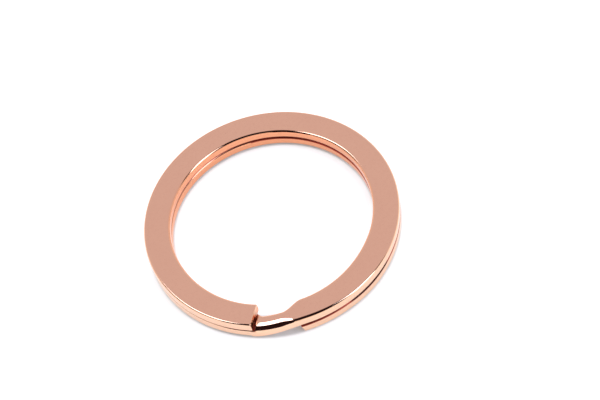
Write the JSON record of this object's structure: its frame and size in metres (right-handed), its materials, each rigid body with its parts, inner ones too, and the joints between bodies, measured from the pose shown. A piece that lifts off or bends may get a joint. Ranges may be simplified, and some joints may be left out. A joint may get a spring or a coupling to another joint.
{
  "type": "split key ring",
  "caption": "Flat split key ring of rose-gold plated spring wire coiled onto itself, with a stepped crossover between cut ends that spring open to take a key.",
  "frame": {"origin": "middle of the eye, on the ring's axis, halfway between the two turns", "axes": "+Z along the ring's axis, up from the resting face; the crossover is at -Y; +X to the right of the crossover seen from the front"},
  "size_m": [0.03, 0.03, 0.0028],
  "materials": {
    "rose_gold_plating": "mirror-polished rose-gold plating on spring steel"
  },
  "bodies": {
    "fixed_wire": {"crossover": "rose_gold_plating", "upper_front_right": "rose_gold_plating", "upper_right": "rose_gold_plating", "upper_back_right": "rose_gold_plating", "lower_front_left": "rose_gold_plating", "lower_left": "rose_gold_plating", "lower_back_left": "rose_gold_plating"},
    "upper_back": {"upper_back": "rose_gold_plating"},
    "upper_back_left": {"upper_back_left": "rose_gold_plating"},
    "upper_left_back": {"upper_left_back": "rose_gold_plating"},
    "upper_left": {"upper_left": "rose_gold_plating"},
    "upper_front_left": {"upper_front_left": "rose_gold_plating"},
    "upper_end": {"upper_end": "rose_gold_plating"},
    "lower_back": {"lower_back": "rose_gold_plating"},
    "lower_back_right": {"lower_back_right": "rose_gold_plating"},
    "lower_right_back": {"lower_right_back": "rose_gold_plating"},
    "lower_right": {"lower_right": "rose_gold_plating"},
    "lower_front_right": {"lower_front_right": "rose_gold_plating"},
    "lower_end": {"lower_end": "rose_gold_plating"}
  },
  "joints": [
    {"name": "upper_opening", "type": "hinge", "parent": "fixed_wire", "child": "upper_back", "pos_m": [0.00255, 0.01478, 0.00127], "axis": [-0.9854, 0.1702, 0], "range_deg": [0, 1.6], "stiffness_Nm_per_rad": 1},
    {"name": "upper_back_left_flex", "type": "hinge", "parent": "upper_back", "child": "upper_back_left", "pos_m": [-0.00518, 0.01408, 0.00127], "axis": [-0.9959, -0.0906, 0], "range_deg": [0, 1.55], "stiffness_Nm_per_rad": 0.02},
    {"name": "upper_left_back_flex", "type": "hinge", "parent": "upper_back_left", "child": "upper_left_back", "pos_m": [-0.01152, 0.0096, 0.00127], "axis": [-0.9385, -0.3453, 0], "range_deg": [0, 1.39], "stiffness_Nm_per_rad": 0.02},
    {"name": "upper_left_flex", "type": "hinge", "parent": "upper_left_back", "child": "upper_left", "pos_m": [-0.01478, 0.00255, 0.00127], "axis": [-0.8171, -0.5764, 0], "range_deg": [0, 1.13], "stiffness_Nm_per_rad": 0.02},
    {"name": "upper_front_left_flex", "type": "hinge", "parent": "upper_left", "child": "upper_front_left", "pos_m": [-0.01408, -0.00518, 0.00127], "axis": [-0.6401, -0.7683, 0], "range_deg": [0, 0.8], "stiffness_Nm_per_rad": 0.02},
    {"name": "upper_end_flex", "type": "hinge", "parent": "upper_front_left", "child": "upper_end", "pos_m": [-0.0096, -0.01152, 0.00127], "axis": [-0.4195, -0.9078, 0], "range_deg": [0, 0.415], "stiffness_Nm_per_rad": 0.02},
    {"name": "lower_opening", "type": "hinge", "parent": "fixed_wire", "child": "lower_back", "pos_m": [-0.00255, 0.01478, -0.00127], "axis": [0.9854, 0.1702, 0], "range_deg": [0, 1.6], "stiffness_Nm_per_rad": 1},
    {"name": "lower_back_right_flex", "type": "hinge", "parent": "lower_back", "child": "lower_back_right", "pos_m": [0.00518, 0.01408, -0.00127], "axis": [0.9959, -0.0906, 0], "range_deg": [0, 1.55], "stiffness_Nm_per_rad": 0.02},
    {"name": "lower_right_back_flex", "type": "hinge", "parent": "lower_back_right", "child": "lower_right_back", "pos_m": [0.01152, 0.0096, -0.00127], "axis": [0.9385, -0.3453, 0], "range_deg": [0, 1.39], "stiffness_Nm_per_rad": 0.02},
    {"name": "lower_right_flex", "type": "hinge", "parent": "lower_right_back", "child": "lower_right", "pos_m": [0.01478, 0.00255, -0.00127], "axis": [0.8171, -0.5764, 0], "range_deg": [0, 1.13], "stiffness_Nm_per_rad": 0.02},
    {"name": "lower_front_right_flex", "type": "hinge", "parent": "lower_right", "child": "lower_front_right", "pos_m": [0.01408, -0.00518, -0.00127], "axis": [0.6401, -0.7683, 0], "range_deg": [0, 0.8], "stiffness_Nm_per_rad": 0.02},
    {"name": "lower_end_flex", "type": "hinge", "parent": "lower_front_right", "child": "lower_end", "pos_m": [0.0096, -0.01152, -0.00127], "axis": [0.4195, -0.9078, 0], "range_deg": [0, 0.415], "stiffness_Nm_per_rad": 0.02}
  ],
  "couplings": [
    {"joint": "upper_back_left_flex", "follows": "upper_opening", "ratio": 0.96593},
    {"joint": "upper_left_back_flex", "follows": "upper_opening", "ratio": 0.86603},
    {"joint": "upper_left_flex", "follows": "upper_opening", "ratio": 0.70711},
    {"joint": "upper_front_left_flex", "follows": "upper_opening", "ratio": 0.5},
    {"joint": "upper_end_flex", "follows": "upper_opening", "ratio": 0.25882},
    {"joint": "lower_back_right_flex", "follows": "lower_opening", "ratio": 0.96593},
    {"joint": "lower_right_back_flex", "follows": "lower_opening", "ratio": 0.86603},
    {"joint": "lower_right_flex", "follows": "lower_opening", "ratio": 0.70711},
    {"joint": "lower_front_right_flex", "follows": "lower_opening", "ratio": 0.5},
    {"joint": "lower_end_flex", "follows": "lower_opening", "ratio": 0.25882}
  ]
}
